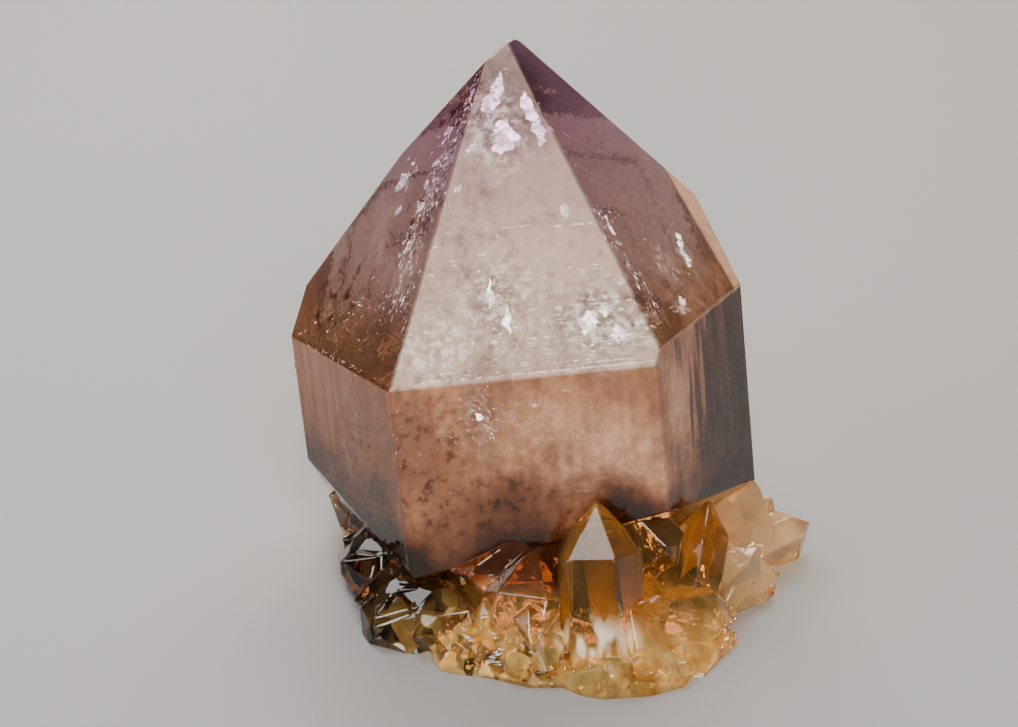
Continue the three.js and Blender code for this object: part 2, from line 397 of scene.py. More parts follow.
# tints of the clear part
CLEAR = (1, 1, 1, 1)
AMBER_GLASS = (0.74, 0.49, 0.11, 1)
PALE_GLASS = (1.0, 0.84, 0.44, 1)
# painted shade: a dark tint in the front of the foot, just below the body
PAINTED_SHADE_GLASS = (0.16, 0.055, 0.008, 1)
OLIVE_GLASS = (0.10, 0.05, 0.008, 1)
LILAC_GLASS = (0.66, 0.46, 0.72, 1)
SPECK_GLASS = (0.30, 0.10, 0.04, 1)
# brown tint, partly painted shade, low in the body
BROWN_GLASS = (0.22, 0.08, 0.03, 1)
# smoky near-black tint with painted shade, where the body meets the foot
SMOKE_AND_SHADE_GLASS = (0.006, 0.002, 0.001, 1)
HONEY_CRUST = (0.96, 0.70, 0.34, 1)
PALE_CRUST = (1.0, 0.90, 0.68, 1)
OLIVE_CRUST = (0.55, 0.42, 0.18, 1)

# parts of the foot, each as the middle and the half sizes of an ellipsoid
OLIVE_PART = (-25, -9, 5), (13, 17, 15)
CREAM_PART = (33, -4, 8), (11, 14, 13)
CRUMBLED_PART = (-8, -28, 1), (13, 8, 5.5)
FEATHER_PART = (6.0, -31.4, 5.6), (5.6, 3.4, 3.4)
FEATHER_SOFTNESS = 0.5
# painted shade in the front of the foot, just below where the body stands
PAINTED_SHADE_PART = (-6, -20, 12), (14, 9, 8)

# heights in mm where a zone starts and where it is full
LILAC_HEIGHTS = 50, 72
MAUVE_HEIGHTS = 41, 52
# the body darkens towards its foot and in streaks up its right side: smoky brown and painted shade
BROWN_HEIGHTS = 27, 15
SMOKE_AND_SHADE_HEIGHTS = 18, 13
RIGHT_SMOKE_AND_SHADE_HEIGHTS = 50, 43
GOLD_HEIGHTS = 11, 3
ROUGH_GOLD_HEIGHTS = 4, 1
GOLD_FORWARD = 12, 20     # the same, measured towards the front

# the tan panel at the right shoulder: the lower inner corner and how much its edge leans
TAN_CORNER = (12.7, 28.8)
TAN_SLANT = 0.25

# soft patches
BRIGHT_PATCHES = [
    # face, middle as (across, along), half sizes of an ellipsoid
    (("tip", 0), (-4.5, 43), (5.5, 5.5, 9)),
    (("tip", 0), (9.8, 47), (8, 6, 5)),
    (("tip", 0), (-2, 16), (4, 5, 7)),
    (("tip", 0), (-14, 49), (5, 5, 5)),
    (("side", 0), (-3, 32), (13, 6, 5)),
    (("side", 0), (9, 24), (7, 6, 7)),
    (("side", 1), (-13, 27), (4, 5, 11)),
]
THIN_MILK = [     # where the cracks behind show
    (("tip", 0), (-1, 12.5), (6, 8, 8)),
    (("tip", 0), (10, 47), (6, 6, 5)),
    (("tip", 0), (-5, 43), (3.5, 5, 7)),
    (("side", 0), (-9, 32), (3, 5, 8)),
]
DARK_PATCHES = [
    (("side", 0), (-18, 26), (6, 5, 11)),
    (("side", 0), (-8, 19), (12, 5, 4)),
    (("side", 5), (7, 24), (5, 8, 12)),
    (("tip", 5), (-6, 47), (5, 5, 6)),
    (("tip", 5), (0.5, 14), (3.5, 4, 8)),
    (("tip", 5), (3.5, 32), (4, 4, 9)),
]
# painted glow: paler, milkier patches with no lamp of their own
PAINTED_GLOW_PATCHES = [     # where light comes through from behind
    (("tip", 1), (-2, 46), (8, 8, 5)),
    (("tip", 5), (2, 34), (6, 8, 9)),
    (("side", 0), (8, 25), (13, 6, 8)),
    (("side", 1), (-13, 30), (4, 5, 9)),
]
PATCH_SOFTNESS = 0.6


def patches(shader, place, shapes):
    """1 in any of the soft patches that are named by face."""
    found = None
    for face, (across, along_face), half in shapes:
        patch = near(shader, place, under_face(*face, across, along_face), half, PATCH_SOFTNESS)
        found = patch if found is None else found.most(patch)
    return found


def at_face(shader, place, kind, side):
    """1 at the plane of one of the large crystal's faces, 0 behind it."""
    start, _, _, outward = face_frame(kind, side)
    return along(shader, place, outward, start).rise(-0.6, -0.2)


# %% Patterns in the quartz, and masks for its parts
class Zones:
    """Patterns, and masks that are 1 in one part of the crystal and 0 elsewhere."""

    def __init__(self, shader):
        self.shader = shader
        self.place = shader.place()
        self.milk = shader.node("Attribute", {"attribute_name": "milk"}, output=2)
        self.foot = shader.node("Attribute", {"attribute_name": "foot"}, output=2)
        self.clouds = cloud(shader, self.place, size=11, detail=1)
        self.mottle = cloud(shader, self.place, size=1.8, detail=3, roughness=0.65)
        self.streaks = cloud(shader, drawn_out(shader, self.place, 1.8, 22), detail=1)
        self.grain, self.tilt = grains(shader, self.place, 0.8 + 1.7 * self.foot)
        self.find_parts_of_foot()
        self.find_parts_of_body()
        self.find_smoke_and_shade()

    def find_parts_of_foot(self):
        """Olive at the left, cream at the right, crumbled and golden low in front, with painted
        shade above it.
        """
        shader, place, foot = self.shader, self.place, self.foot
        self.olive = near(shader, place, *OLIVE_PART) * foot
        self.cream = near(shader, place, *CREAM_PART) * foot
        self.crumbs = near(shader, place, *CRUMBLED_PART) * foot
        feather = near(shader, place, *FEATHER_PART, FEATHER_SOFTNESS) * foot
        self.feather = feather * self.streaks.rise(0.42, 0.6)
        up = along(shader, place, (0, 0, 1)) + (self.clouds - 0.5) * 8
        self.lowest = up.rise(*ROUGH_GOLD_HEIGHTS)
        forward = along(shader, place, (0, -1, 0))
        gold = up.rise(*GOLD_HEIGHTS) * forward.rise(*GOLD_FORWARD)
        self.gold = gold * foot * (1 - self.olive) * (1 - self.cream)
        self.pale = self.crumbs.most(self.gold)
        self.light = self.pale.most(self.cream)
        # painted shade: darker and browner in the front of the foot, above the golden part
        self.painted_shade = near(shader, place, *PAINTED_SHADE_PART) * foot * (1 - self.pale)

    def find_parts_of_body(self):
        """The tip, three of its faces, and the patches on them."""
        shader, place = self.shader, self.place
        self.height = along(shader, place, AXIS, FOOT)
        self.tip = self.height.rise(*LILAC_HEIGHTS)
        self.lilac = self.tip * (1 - self.foot)
        self.front_tip = at_face(shader, place, "tip", 0)
        self.right_tip = at_face(shader, place, "tip", 1)
        self.left_side = at_face(shader, place, "side", 5)
        self.bright = patches(shader, place, BRIGHT_PATCHES)
        self.dark = patches(shader, place, DARK_PATCHES)
        self.thin_milk = patches(shader, place, THIN_MILK)
        tone = self.clouds * 0.6 + self.streaks * 0.4 + (self.mottle - 0.5) * 0.25
        self.tone = tone + self.bright * 0.14 - self.dark * 0.2
        # painted glow: paler and milkier where light would come through from behind
        self.painted_glow = patches(shader, place, PAINTED_GLOW_PATCHES) * self.tone.rise(0.3, 0.7)
        self.specks = self.dark * self.mottle.rise(0.48, 0.34) * (1 - self.foot)
        _, across, down, _ = face_frame("tip", 1)
        corner = under_face("tip", 1, *TAN_CORNER)
        tan = along(shader, place, across + TAN_SLANT * down, corner).rise(-0.4, 0.4)
        self.tan = tan * self.right_tip * (0.5 + self.streaks)

    def find_smoke_and_shade(self):
        """Smoky brown and painted shade: where body meets foot, and in streaks up the right side.
        """
        shader, place = self.shader, self.place
        # darker towards the foot: smoky brown and painted shade
        ragged_height = self.height + (self.mottle - 0.5) * 4 + (self.clouds - 0.5) * 20
        # streaks up the right side, darkened: smoky colour and painted shade
        right = along(shader, place, face_frame("side", 1)[1], FOOT)
        right = (right + (self.streaks - 0.5) * 40).rise(-12, -4)
        right = right * self.height.rise(*RIGHT_SMOKE_AND_SHADE_HEIGHTS) * (1 - self.right_tip)
        right = right * along(shader, place, (0, -1, 0), FOOT).rise(-4, 3)
        self.brown = ragged_height.rise(*BROWN_HEIGHTS).most(right) * (1 - self.foot)
        smoke_and_shade = ragged_height.rise(*SMOKE_AND_SHADE_HEIGHTS).most(right * self.streaks.rise(0.72, 0.40))
        self.smoke_and_shade = smoke_and_shade * (1 - self.foot)


# %% The colour of the milky part, laid on coat by coat
def coated(shader, colour, coats):
    """The colour with each coat over the last: a coat is how much of it, and its colour."""
    for share, coat in coats:
        colour = shader.blend(share, colour, coat)
    return colour


def milky_colour(shader, zone):
    body = coated(shader, ROSE, [
        (zone.tone.rise(0.32, 0.68), PALE_ROSE),
        (zone.left_side * (0.6 + zone.streaks.rise(0.62, 0.40) * 0.4), DARK_ROSE),
        (zone.height.rise(*MAUVE_HEIGHTS) * 0.85, MAUVE),
        (zone.front_tip * zone.tone.rise(0.15, 0.5), FRONT_PALE),
        (zone.tip * (1 - zone.front_tip * 0.6), LILAC),
        (zone.bright * zone.mottle.rise(0.52, 0.60) * (0.12 + zone.front_tip * 0.7), FROST),
        (zone.front_tip * zone.mottle.rise(0.42, 0.34) * 0.4, TAUPE),
        # painted glow
        (zone.painted_glow * 0.35, PAINTED_GLOW),
        (zone.dark * zone.mottle.rise(0.46, 0.34) * 0.5, DARK_ROSE),
        (zone.tan, TAN),
    ])
    foot = coated(shader, HONEY, [
        ((zone.tone.rise(0.3, 0.6) * 0.8).most(zone.crumbs * zone.grain), PALE_HONEY),
        # the painted shade in the front of the foot is laid in brown
        (zone.painted_shade, BROWN), (zone.olive, OLIVE), (zone.cream, CREAM), (zone.feather, FEATHER),
    ])
    # brown and smoky near-black with painted shade, where the body meets the foot
    return coated(shader, body, [(zone.foot, foot), (zone.brown, BROWN), (zone.smoke_and_shade, SMOKE_AND_SHADE)])


# %% How much of it is milky
def milkiness(zone):
    amount = zone.milk * (0.8 + 0.4 * zone.clouds) + (zone.mottle - 0.5) * 0.5 * zone.milk
    amount = amount + zone.crumbs * (zone.grain - 0.3)
    amount = amount + (zone.gold - zone.crumbs).most(0.0) * zone.streaks * 0.5
    amount = amount + zone.cream * (0.05 + zone.clouds * 0.45) + zone.olive * (zone.grain - 0.45)
    # the painted shade and the painted glow are a little milkier too
    amount = amount + zone.feather * 0.8 + zone.painted_shade * 0.3 + zone.tan * 0.4 + zone.painted_glow * 0.2
    amount = amount + zone.bright * zone.front_tip * zone.mottle.rise(0.4, 0.62) * 0.3
    amount = amount - zone.thin_milk * (1 - zone.foot) * 0.26 - zone.specks * 0.4
    return amount.most(0.0).least(MOST_MILK)


# %% The tint of the clear part
def clear_tint(zone, mix, plain):
    """Tints of what is seen through the skin, laid over each other by the given mix."""
    tint = mix(zone.light, plain(AMBER_GLASS), plain(PALE_GLASS))
    # painted shade darkens the clear part in the front of the foot
    tint = mix(zone.painted_shade, tint, plain(PAINTED_SHADE_GLASS))
    tint = mix(zone.olive, tint, plain(OLIVE_GLASS))
    tint = mix(zone.foot, plain(CLEAR), tint)
    tint = mix(zone.lilac, tint, plain(LILAC_GLASS))
    tint = mix(zone.specks, tint, plain(SPECK_GLASS))
    # brown tint with painted shade, low in the body
    return mix(zone.brown, tint, plain(BROWN_GLASS))


# %% Grains that tip the surface, and the growth lines that run round it
def uneven_surface(shader, zone):
    rough_part = zone.crumbs.most(zone.olive * 0.12).most(zone.gold * zone.lowest * 0.4)
    strength = 0.06 + zone.front_tip * 0.08 + rough_part * 0.8
    lean = shader.node("VectorMath", {"operation": "SUBTRACT"}, {0: (0.5, 0.5, 0.5), 1: zone.tilt})
    lean = shader.node("VectorMath", {"operation": "SCALE"}, {0: lean, "Scale": strength})
    straight = shader.node("NewGeometry", output=1)
    tipped = shader.node("VectorMath", {"operation": "ADD"}, {0: straight, 1: lean})
    tipped = shader.node("VectorMath", {"operation": "NORMALIZE"}, {0: tipped})
    lines = cloud(shader, drawn_out(shader, zone.place, 9, 0.3), detail=0)
    return shader.node("Bump", {}, {
        "Height": lines * (0.3 - zone.foot * 0.24), "Strength": strength, "Distance": MM,
        "Normal": tipped,
    })


# %% The quartz finish
def quartz_finish():
    shader = Shader("hazy quartz")
    zone = Zones(shader)
    surface_normal = uneven_surface(shader, zone)
    gloss = 0.008 + zone.mottle.rise(0.5, 0.8) * 0.06
    glass = shader.node("BsdfPrincipled", {}, {
        # the clear part turns smoky near-black, with painted shade, where the body meets the foot
        "Base Color": shader.blend(zone.smoke_and_shade, clear_tint(zone, shader.blend, tuple), SMOKE_AND_SHADE_GLASS),
        "Roughness": gloss, "IOR": QUARTZ_IOR, "Transmission Weight": 1.0,
        "Normal": surface_normal,
    })
    tinted_window = clear_tint(zone, shader.mixed, shader.window)
    # in the smoky zone with painted shade, rays to a lamp are tinted near-black
    clear_part = shader.mixed(zone.smoke_and_shade, shader.lamp_lit(glass, tinted_window),
                              shader.lamp_lit(glass, shader.window(SMOKE_AND_SHADE_GLASS)))
    haze = shader.node("BsdfPrincipled", {"subsurface_method": "BURLEY"}, {
        "Base Color": milky_colour(shader, zone), "Roughness": gloss + 0.08, "IOR": QUARTZ_IOR,
        "Subsurface Weight": 1.0, "Subsurface Radius": WANDERS_BY_COLOUR,
        "Subsurface Scale": WANDERS * MM, "Normal": surface_normal,
    })
    volume = shader.node("VolumeAbsorption", {}, {"Color": ABSORBED_TINT, "Density": ABSORPTION})
    shader.node("OutputMaterial", {}, {
        "Surface": shader.mixed(milkiness(zone), clear_part, haze), "Volume": volume,
    })
    return shader.material


# %% The skin is finished and takes the CAD node's place
skin.data.materials.clear()
skin.data.materials.append(quartz_finish())
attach(skin, "root")
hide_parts(NODE)
print("skin finished with", len(skin.data.materials[0].node_tree.nodes), "nodes")

# %% [markdown]
# ## Cracks and veils inside
#
# Healed cracks fill quartz with thousands of tiny flat films that flash when light meets
# them square on. Each is made here as a thin closed lens with an uneven outline. They lie
# in bands behind the faces, as a crack does, so the eye sees them at their true depth.
# The bands are named by face: how far across it, how far along, and how deep behind it.
# The larger cracks are flat closed plates with ragged outlines, and stand so that they
# throw the key light towards the front.

# %% One flake, and a mesh made of many
FLAKE_CORNERS = 6
FLAKE_THICKNESS = 0.12
SEED = 9


def flake(chance, middle, facing, grain, half_length, half_width):
    """Corners and faces of a thin lens with an uneven rim, longest along its grain, in mm."""
    out = facing.normalized()
    side_way = out.cross(grain).normalized()
    grain_way = side_way.cross(out)
    corners = []
    for index in range(FLAKE_CORNERS):
        angle = math.tau * (index + chance.uniform(-0.3, 0.3)) / FLAKE_CORNERS
        reach = chance.uniform(0.6, 1.0)
        corners.append(middle + grain_way * (math.cos(angle) * half_length * reach)
                       + side_way * (math.sin(angle) * half_width * reach))
    corners.append(middle + out * half_width * FLAKE_THICKNESS)
    corners.append(middle - out * half_width * FLAKE_THICKNESS)
    faces = []
    for index in range(FLAKE_CORNERS):
        after = (index + 1) % FLAKE_CORNERS
        faces.append((index, after, FLAKE_CORNERS))
        faces.append((after, index, FLAKE_CORNERS + 1))
    return corners, faces


def joined(name, solids, material):
    """One mesh from many small solids whose corners are in mm."""
    points, faces = [], []
    for corners, sides in solids:
        start = len(points)
        points.extend(corner * MM for corner in corners)
        faces.extend(tuple(start + index for index in side) for side in sides)
    mesh = bpy.data.meshes.new(name)
    mesh.from_pydata(points, [], faces)
    mesh.materials.append(material)
    piece = bpy.data.objects.new(name, mesh)
    bpy.context.scene.collection.objects.link(piece)
    only(piece)
    bpy.ops.object.mode_set(mode="EDIT")
    bpy.ops.mesh.select_all(action="SELECT")
    bpy.ops.mesh.normals_make_consistent(inside=False)
    bpy.ops.object.mode_set(mode="OBJECT")
    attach(piece, "root")
    print(name, "holds", len(solids), "solids,", len(faces), "faces")
    return piece


def is_inside(point, margin=0.3):
    """True where a point in mm lies inside the quartz, clear of the skin."""
    nearest, normal, _, distance = surface.find_nearest(point)
    return distance > margin and (point - nearest).dot(normal) < 0


# %% Bands of flakes behind the faces
FLASH_LEANS = {
    # face: how far a film that flashes goes down for each mm across and each mm along
    ("tip", 0): [(0.06, 0.13)], ("tip", 1): [(-0.01, -0.21), (-0.53, -0.02)],
    ("tip", 5): [(0.01, -0.23), (0.62, -0.09)], ("side", 0): [(0.06, 0.30)],
    ("side", 1): [(-0.56, 0.34)], ("side", 5): [(0.30, 0.34), (0.66, 0.36)],
}
BRIGHT_BANDS = [
    # face, route as (across, along), half width, depths, how many, half widths of a flake
    (("tip", 5), [(0.2, 6), (1.0, 22), (3.4, 34.5), (7.6, 44)], 2.4, (0.3, 6), 900, (0.04, 0.26)),
    (("tip", 5), [(1.0, 8), (1.6, 24), (4.4, 38)], 2.0, (0.3, 2.5), 140, (0.12, 0.5)),
    (("tip", 5), [(-5.5, 24), (-4, 28)], 1.0, (0.5, 2), 30, (0.10, 0.45)),
    (("side", 0), [(-12, 34), (10, 30)], 5, (0.2, 2), 150, (0.06, 0.3)),
    (("side", 0), [(-6, 30), (8, 22)], 4, (0.2, 3), 120, (0.05, 0.26)),
    (("tip", 5), [(-12, 52), (4, 44)], 5, (1, 9), 160, (0.04, 0.2)),
    (("tip", 0), [(5, 47), (14, 49)], 3.0, (0.3, 5), 520, (0.05, 0.34)),
    (("tip", 0), [(-4.8, 36), (-4.0, 53)], 2.2, (0.3, 5), 460, (0.05, 0.30)),
    (("tip", 0), [(-2, 10), (2, 22), (-14, 46)], 6, (0.3, 8), 420, (0.03, 0.2)),
    (("tip", 0), [(9, 36), (15, 48)], 0.8, (0.3, 1.6), 60, (0.05, 0.25)),
    (("tip", 1), [(-8.4, 30), (-12.6, 49)], 1.0, (0.3, 3), 200, (0.04, 0.26)),
    (("tip", 1), [(-8, 48.5), (-5.5, 50)], 0.9, (0.4, 2), 40, (0.08, 0.4)),
    (("tip", 1), [(-2, 20), (0, 44)], 5, (1, 10), 120, (0.03, 0.14)),
    (("side", 0), [(-8.5, 38.3), (-6.9, 26.5)], 1.0, (0.4, 4), 110, (0.04, 0.2)),
    (("side", 0), [(-20, 36), (-22, 24), (-19, 12)], 1.6, (0.3, 6), 260, (0.04, 0.2)),
    (("side", 0), [(-15, 34), (12, 22)], 8, (0.4, 9), 200, (0.03, 0.14)),
    (("side", 1), [(-14, 38), (-8, 20)], 4, (0.6, 6), 120, (0.03, 0.16)),
    (("side", 5), [(-6, 36), (12, 18)], 4, (0.6, 6), 120, (0.03, 0.16)),
]
DARK_BANDS = [     # the same for dark specks
    (("tip", 5), [(1.0, 8), (1.9, 22), (4.2, 34.5), (8.3, 44)], 3.0, (0.8, 7), 360, (0.05, 0.4)),
    (("tip", 5), [(-6, 47), (-2, 54)], 1.6, (0.6, 3), 60, (0.08, 0.4)),
    (("side", 0), [(-8.5, 38.3), (-6.9, 26.5)], 1.1, (0.5, 3), 90, (0.05, 0.3)),
    (("side", 0), [(-18.8, 36), (-20.4, 26)], 0.9, (0.15, 1.2), 160, (0.08, 0.45)),
    (("side", 0), [(-17.6, 25), (-16.6, 16)], 1.6, (0.15, 1.2), 120, (0.06, 0.4)),
    (("side", 0), [(-22, 25), (-18, 13)], 2.4, (0.4, 4), 220, (0.05, 0.35)),
    (("side", 0), [(-16, 36), (14, 24)], 9, (0.15, 1.5), 200, (0.05, 0.22)),
    (("side", 5), [(-6, 34), (8, 20)], 6, (0.15, 1.5), 140, (0.05, 0.3)),
    (("tip", 0), [(-10, 50), (12, 30)], 9, (0.4, 3), 70, (0.03, 0.12)),
]


def mirror_way(face, lean):
    """How a film behind a face must stand to throw a lamp's light out to the front."""
    _, across_way, along_way, outward = face_frame(*face)
    across_lean, along_lean = lean
    return (outward + across_lean * across_way + along_lean * along_way).normalized()


def band_of_flakes(chance, band):
    (kind, side), route, half_width, depths, count, half_sizes = band
    _, across_way, along_way, _ = face_frame(kind, side)
    ways = [mirror_way((kind, side), lean) for lean in FLASH_LEANS[(kind, side)]]
    solids = []
    while len(solids) < count:
        step = chance.uniform(0, len(route) - 1)
        leg = int(step)
        run_across = route[leg + 1][0] - route[leg][0]
        run_along = route[leg + 1][1] - route[leg][1]
        across = route[leg][0] + run_across * (step - leg) + chance.gauss(0, half_width / 2)
        down = route[leg][1] + run_along * (step - leg) + chance.gauss(0, half_width / 2)
        point = under_face(kind, side, across, down, chance.uniform(*depths))
        grain = across_way * run_across + along_way * run_along
        grain = grain.normalized() + Vector([chance.gauss(0, 0.35) for _ in range(3)])
        facing = chance.choice(ways) + Vector([chance.gauss(0, 0.13) for _ in range(3)])
        size = half_sizes[0] + (half_sizes[1] - half_sizes[0]) * chance.random() ** 3
        length = size * chance.uniform(1.5, 4.5)
        if is_inside(point, length):
            solids.append(flake(chance, point, facing, grain, length, size))
    return solids


BRIGHT_FILM = (1.0, 0.93, 0.88, 1)
DARK_FILM = (0.07, 0.035, 0.02, 1)


def flake_finish(name, colour, metal, roughness):
    shader = Shader(name)
    specks = cloud(shader, shader.place(), size=0.5, detail=0)
    shade = tuple(0.55 * part for part in colour[:3]) + (1,)
    film = shader.node("BsdfPrincipled", {}, {
        "Base Color": shader.blend(specks.rise(0.35, 0.65), shade, colour),
        "Metallic": metal,
        "Roughness": roughness + specks * 0.1,
    })
    shader.node("OutputMaterial", {}, {"Surface": film})
    return shader.material


chance = random.Random(SEED)
bright_flakes = [item for band in BRIGHT_BANDS for item in band_of_flakes(chance, band)]
dark_flakes = [item for band in DARK_BANDS for item in band_of_flakes(chance, band)]

# %% Flakes in the small crystals
SPARKLES = [
    # middle, half sizes of the cloud, how many, half widths of a flake, their grain
    ((5.2, -23.6, 18.6), (2.6, 2.0, 2.2), 220, (0.04, 0.22), (0.4, 0.2, 1)),
    ((19, -26, 5.5), (7, 4, 3.5), 260, (0.05, 0.3), (1, 0.5, 0)),
    ((24.5, -22.5, 4.5), (2.6, 3.6, 3.0), 260, (0.06, 0.4), (1, -0.3, 0.2)),
    ((6.0, -26.5, 6.0), (4.6, 3.4, 1.7), 360, (0.05, 0.35), (0, 0.1, 1)),
    ((5.8, -27, 3.0), (4.4, 3.4, 2.6), 140, (0.05, 0.25), (0, 0.1, 1)),
    ((25.5, -24, 4.4), (3.0, 3.2, 2.6), 200, (0.05, 0.35), (1, -0.3, 0.2)),
    ((16, -26, 3), (8, 5, 2.2), 90, (0.04, 0.2), (1, 0.5, 0)),
    ((-9, -25, 3.4), (7, 6, 3.4), 520, (0.05, 0.32), (0.5, 0.2, 1)),
    ((-1, -29, 2.6), (6, 5, 2.6), 200, (0.05, 0.3), (1, 0.2, 0.6)),
    ((-4, -23, 9), (4, 3, 4), 60, (0.04, 0.2), (0, 0.1, 1)),
    ((-24, -14, 4), (6, 6, 4), 90, (0.05, 0.3), (1, 0.2, 0.6)),
    ((20, -15, 11), (4, 4, 5), 50, (0.04, 0.2), (0, 0.1, 1)),
    ((32, -4, 8), (7, 9, 5), 240, (0.05, 0.32), (1, 0.2, 0.6)),
    ((20, 30, 6), (14, 9, 5), 260, (0.05, 0.32), (1, 0.2, 0.6)),
    ((-14, 28, 5), (12, 8, 4.5), 220, (0.05, 0.32), (1, 0.2, 0.6)),
]
for middle, half, count, half_sizes, grain in SPARKLES:
    for _ in range(count):
        offset = Vector([chance.uniform(-1, 1) for _ in range(3)])
        point = Vector(middle) + Vector([a * b for a, b in zip(offset, half)])
        facing = Vector([chance.gauss(0, 1) for _ in range(3)])
        grain_way = Vector(grain) + Vector([chance.gauss(0, 0.4) for _ in range(3)])
        size = half_sizes[0] + (half_sizes[1] - half_sizes[0]) * chance.random() ** 3
        length = size * chance.uniform(1.5, 4)
        if offset.length < 1 and is_inside(point, length):
            bright_flakes.append(flake(chance, point, facing, grain_way, length, size))

# %% Larger cracks, each with its own outline
EDGES = [
    # edge of the front tip face and its belt, from one end to the other, in its measures
    (("tip", 0), [(0.6, 3), (-21.6, 53.6)]),
    (("tip", 0), [(1.6, 3), (17.2, 51.6)]),
    (("tip", 0), [(-21.0, 54.0), (16.6, 52.2)]),
    (("tip", 5), [(14, 55), (-12, 56)]),
    (("side", 0), [(-21.8, 38), (-21.2, 12)]),
    (("side", 0), [(17.4, 38), (17.0, 17)]),
]
for face, route in EDGES:
    bright_flakes += band_of_flakes(chance, (face, route, 0.3, (0.15, 0.8), 60, (0.03, 0.16)))

CRACKS = [
    # face, depth of the corner nearest the face, corners as (across, along)
    (("tip", 0), 0.5, [(-3.7, 18.6), (-2.6, 14.6), (-0.9, 14.0), (1.0, 17.4), (-2.4, 19.6)]),
    (("tip", 0), 0.4, [(-1.3, 6.3), (-2.9, 8.6), (-4.7, 12.4), (-2.9, 12.9), (-1.0, 9.6)]),
    (("tip", 0), 0.5, [(1.9, 9.8), (1.2, 12.4), (3.2, 15.6), (3.9, 14.2), (2.6, 11.0)]),
    (("tip", 0), 0.5, [(-5.2, 15.6), (-7.5, 18.4), (-7.0, 19.4), (-5.6, 18.0)]),
    (("tip", 0), 0.6, [(4.2, 14.4), (2.7, 15.3), (3.4, 18.9), (4.6, 18.2)]),
    (("tip", 0), 0.5, [(6.5, 28.2), (5.6, 28.6), (5.7, 29.9), (6.4, 30.8), (6.9, 29.8)]),
    (("tip", 0), 0.6, [(-8.6, 23.8), (-9.8, 24.2), (-9.6, 25.0), (-8.8, 24.9)]),
    (("tip", 0), 0.6, [(-5.6, 38.6), (-6.6, 41.2), (-6.0, 43.4), (-5.0, 42.0)]),
    (("tip", 0), 0.5, [(-3.4, 43.2), (-4.4, 45.8), (-3.4, 47.6), (-2.9, 45.2)]),
    (("tip", 0), 0.6, [(8.2, 45.0), (6.6, 46.8), (7.4, 48.8), (9.2, 47.8), (9.6, 45.8)]),
    (("tip", 0), 0.7, [(12.0, 47.4), (11.0, 49.2), (12.2, 50.6), (13.8, 49.2)]),
    (("tip", 0), 0.5, [(10.6, 44.2), (9.9, 45.2), (10.7, 46.4), (11.6, 45.3)]),
    (("tip", 5), 0.5, [(0.9, 10.9), (0.2, 12.0), (0.8, 13.2), (1.5, 12.2)]),
    (("tip", 5), 0.6, [(0.6, 16.4), (-0.8, 17.0), (-0.9, 18.3), (0.3, 17.9)]),
    (("tip", 5), 0.8, [(-5.0, 25.6), (-7.2, 26.0), (-5.9, 29.2), (-4.3, 27.2)]),
    (("tip", 5), 0.7, [(1.3, 21.6), (0.2, 22.0), (0.1, 23.4), (1.4, 23.0)]),
    (("tip", 5), 0.5, [(3.0, 28.4), (2.0, 28.8), (2.3, 30.6), (3.1, 29.9)]),
    (("tip", 5), 0.6, [(-2.6, 30.6), (-3.3, 31.3), (-2.8, 32.3), (-2.2, 31.4)]),
    (("tip", 5), 0.7, [(4.8, 34.6), (3.6, 35.0), (4.2, 36.9), (5.0, 36.2)]),
    (("tip", 1), 0.6, [(5.3, 40.4), (4.6, 39.6), (2.8, 41.8), (0.9, 44.9), (1.4, 45.3)]),
    (("tip", 1), 0.7, [(-7.4, 31.6), (-7.9, 31.3), (-9.5, 34.4), (-9.1, 34.8)]),
    (("tip", 1), 0.6, [(-5.6, 47.4), (-6.6, 48.3), (-6.0, 49.3), (-5.1, 48.6)]),
    (("side", 0), 0.5, [(-8.3, 33.0), (-9.2, 32.7), (-9.5, 33.9), (-8.7, 33.7)]),
    (("side", 0), 0.5, [(-0.6, 33.8), (-1.1, 34.1), (-0.9, 34.8), (-0.4, 34.4)]),
]
CRACK_THICKNESS = 0.12


def ragged(chance, outline):
    """The outline with each side broken into four uneven steps."""
    corners = []
    for index, (across, down) in enumerate(outline):
        after = outline[(index + 1) % len(outline)]
        run, fall = after[0] - across, after[1] - down
        for step in (0, 0.25, 0.5, 0.75):
            shift = chance.uniform(-0.12, 0.12) if step else 0
            corners.append((across + run * step - fall * shift, down + fall * step + run * shift))
    return corners


def crack(chance, face, depth, outline):
    """A closed plate with a ragged outline, two flat sides and a thin rim, in mm."""
    facing = mirror_way(face, FLASH_LEANS[face][0])
    start, _, _, outward = face_frame(*face)
    top = []
    for corner in ragged(chance, outline):
        point = under_face(*face, *corner)
        top.append(point - outward * ((point - start).dot(facing) / outward.dot(facing)))
    highest = max((point - start).dot(outward) for point in top)
    top = [point - outward * (highest + depth) for point in top]
    bottom = [corner - facing * CRACK_THICKNESS for corner in top]
    count = len(top)
    faces = [tuple(range(count)), tuple(range(2 * count - 1, count - 1, -1))]
    for index in range(count):
        after = (index + 1) % count
        faces.append((after, index, count + index, count + after))
    return top + bottom, faces


cracks = [crack(chance, *shape) for shape in CRACKS]


FILM_ROSY = (1.0, 0.93, 0.90, 1)
FILM_BLUE = (0.84, 0.95, 1.0, 1)


